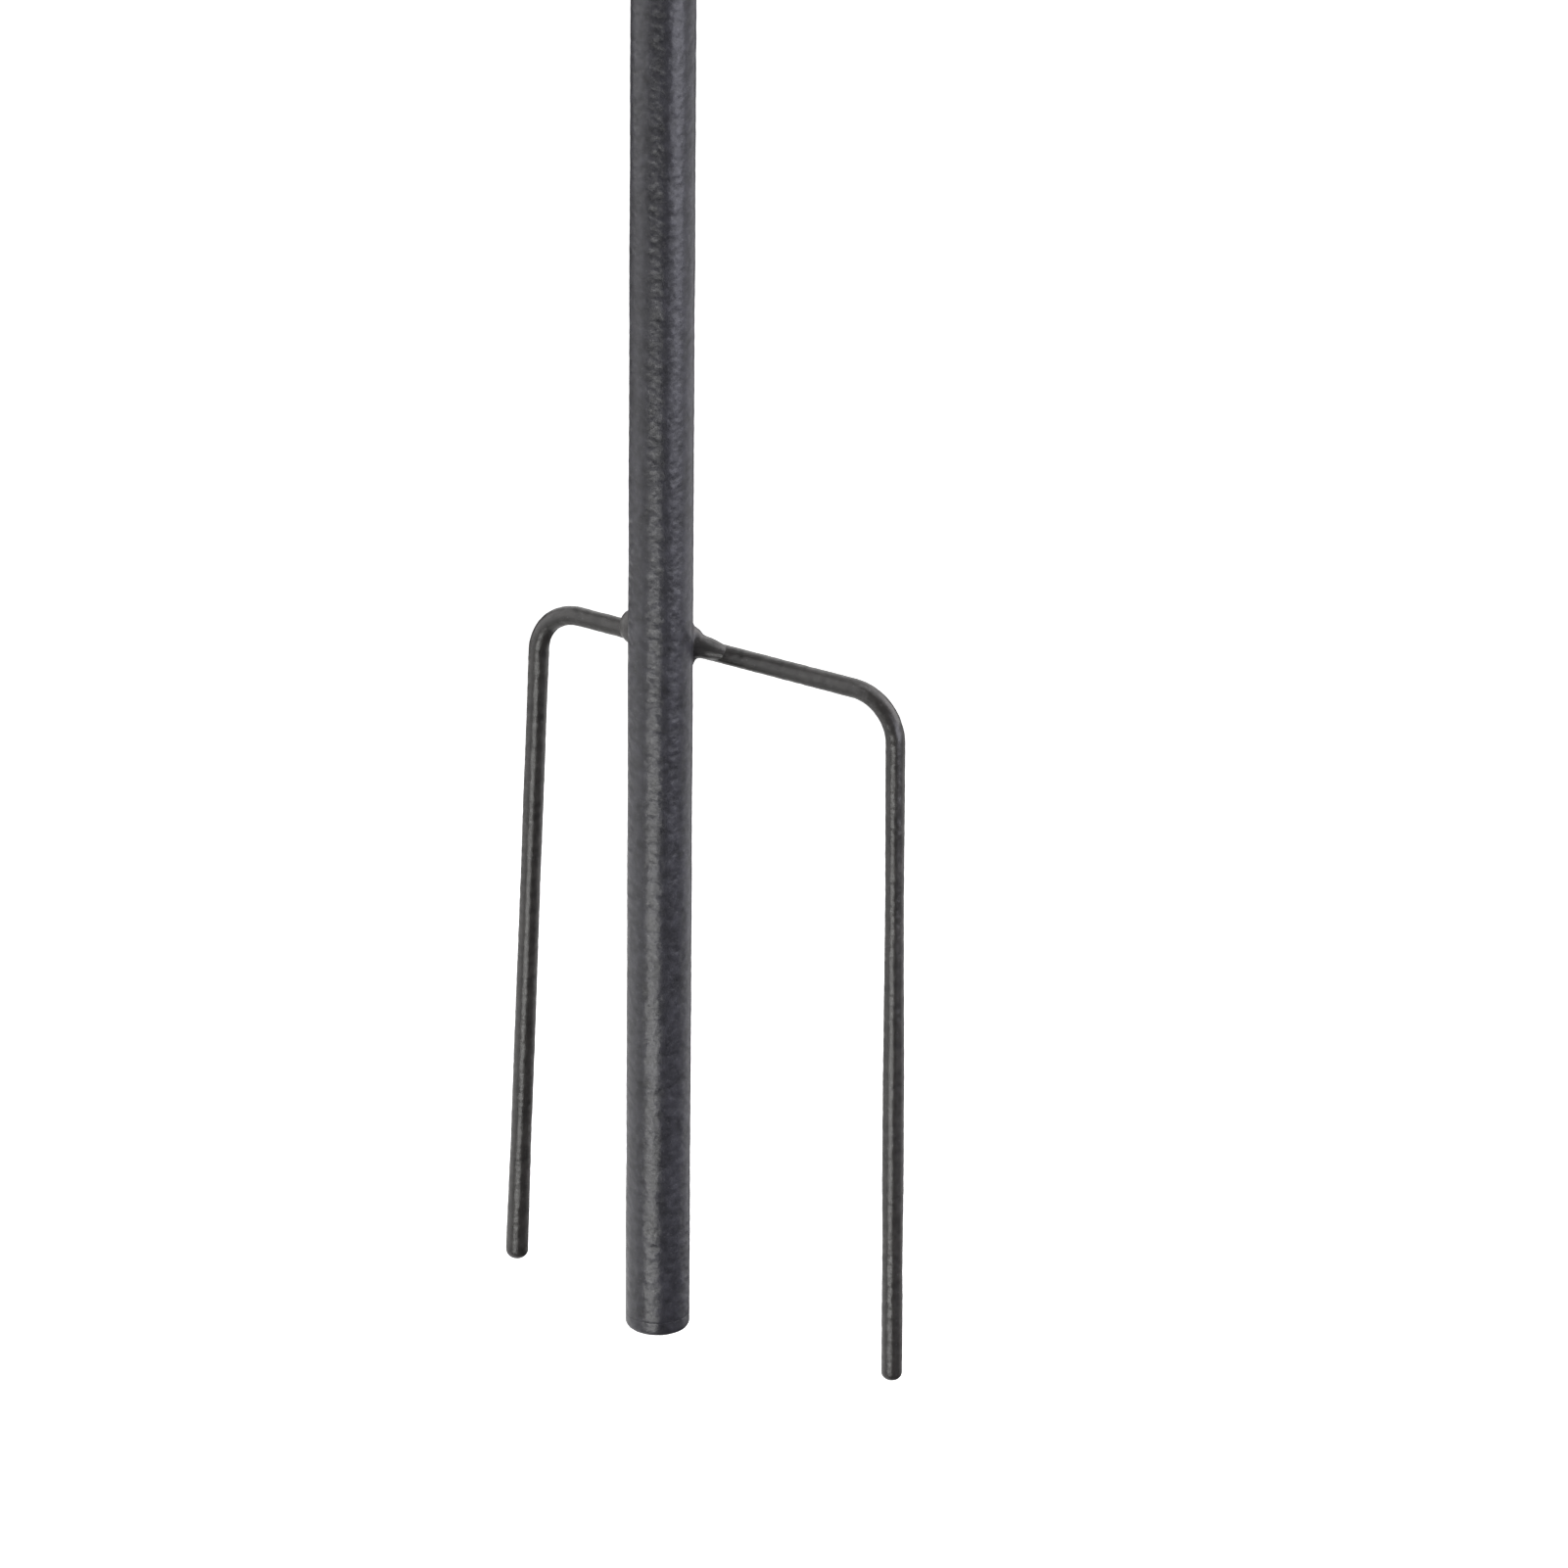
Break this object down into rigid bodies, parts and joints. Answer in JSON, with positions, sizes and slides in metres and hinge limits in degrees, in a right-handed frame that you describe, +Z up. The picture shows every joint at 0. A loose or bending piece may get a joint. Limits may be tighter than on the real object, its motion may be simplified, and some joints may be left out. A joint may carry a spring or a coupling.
{
  "type": "garden figure ground stake",
  "caption": "Sectional round steel pole with a bent-rod ground fork welded behind its foot, for standing a garden figure in soil.",
  "frame": {"origin": "on the pole's axis, at the underside of the fork's crossbar, which is the surface of the ground when the stake is in", "axes": "+Z up along the pole, +X along the crossbar from the shorter reach to the longer one, +Y towards the side of the pole that the fork is welded to"},
  "size_m": [0.1158, 0.0211, 0.7285],
  "materials": {
    "coated_steel": "textured powder coat with an orange-peel grain, charcoal, satin",
    "coated_rod": "textured powder coat with an orange-peel grain, charcoal, satin, thicker than on the pole",
    "coated_weld": "charcoal powder coat over a rippled weld bead",
    "plated_steel": "zinc plated, fine lengthwise draw marks",
    "black_plastic": "fine moulded grain"
  },
  "bodies": {
    "stake": {"lower_pole": "coated_steel", "foot_plug": "coated_steel", "fork_rod": "coated_rod", "weld_left": "coated_weld", "weld_right": "coated_weld"},
    "sleeve": {"joining_sleeve": "plated_steel"},
    "upper_section": {"upper_pole": "coated_steel", "top_plug": "black_plastic"}
  },
  "joints": [
    {"name": "pole_turn", "type": "hinge", "parent": "stake", "child": "sleeve", "pos_m": [0, 0, 0.242], "axis": [0, 0, 1], "continuous": true},
    {"name": "pole_pull", "type": "slide", "parent": "sleeve", "child": "upper_section", "axis": [0, 0, 1], "range_m": [0, 0.04]}
  ]
}
